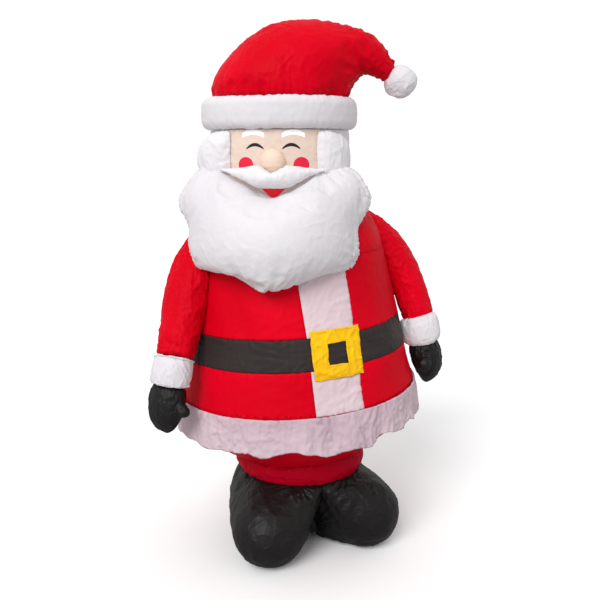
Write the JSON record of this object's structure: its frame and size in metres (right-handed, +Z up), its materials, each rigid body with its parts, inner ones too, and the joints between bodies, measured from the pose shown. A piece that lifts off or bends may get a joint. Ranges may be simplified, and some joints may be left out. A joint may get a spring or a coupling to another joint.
{
  "type": "inflatable santa",
  "caption": "Free-standing air-filled garden Santa in sewn cloth, with a belted coat, hem, mittens, boots, beard and a bending hat with pompom.",
  "frame": {"origin": "on the floor, under the middle of the whole figure's box", "axes": "+Z up; the coat's front and the boots face -Y; the figure's left hand is at +X"},
  "size_m": [0.7032, 0.5688, 1.1879],
  "materials": {
    "red_cloth": "thin woven polyester, slightly glossy, red",
    "white_cloth": "thin woven polyester, white",
    "hem_cloth": "thin woven polyester, white tinted pink by the red behind it",
    "black_cloth": "thin woven polyester with a soft sheen, black",
    "belt_cloth": "thin woven polyester, brownish black",
    "buckle_cloth": "thin woven polyester, golden yellow",
    "face_cloth": "thin woven polyester, peach"
  },
  "bodies": {
    "root": {"boot_right": "black_cloth", "boot_left": "black_cloth", "tether_tab": "black_cloth", "trousers": "red_cloth", "coat_lower": "red_cloth", "belt": "belt_cloth", "coat_upper": "red_cloth", "placket_lower": "hem_cloth", "placket_upper": "hem_cloth", "buckle": "buckle_cloth", "hem": "hem_cloth", "sleeve_right": "red_cloth", "sleeve_left": "red_cloth", "cuff_right": "white_cloth", "cuff_left": "white_cloth", "mitten_right": "black_cloth", "mitten_left": "black_cloth", "head": "white_cloth", "face": "face_cloth", "nose": "face_cloth", "hair_right": "white_cloth", "hair_left": "white_cloth", "beard": "white_cloth", "moustache": "white_cloth", "hat_band": "white_cloth", "hat": "red_cloth", "pompom": "white_cloth"}
  },
  "joints": []
}
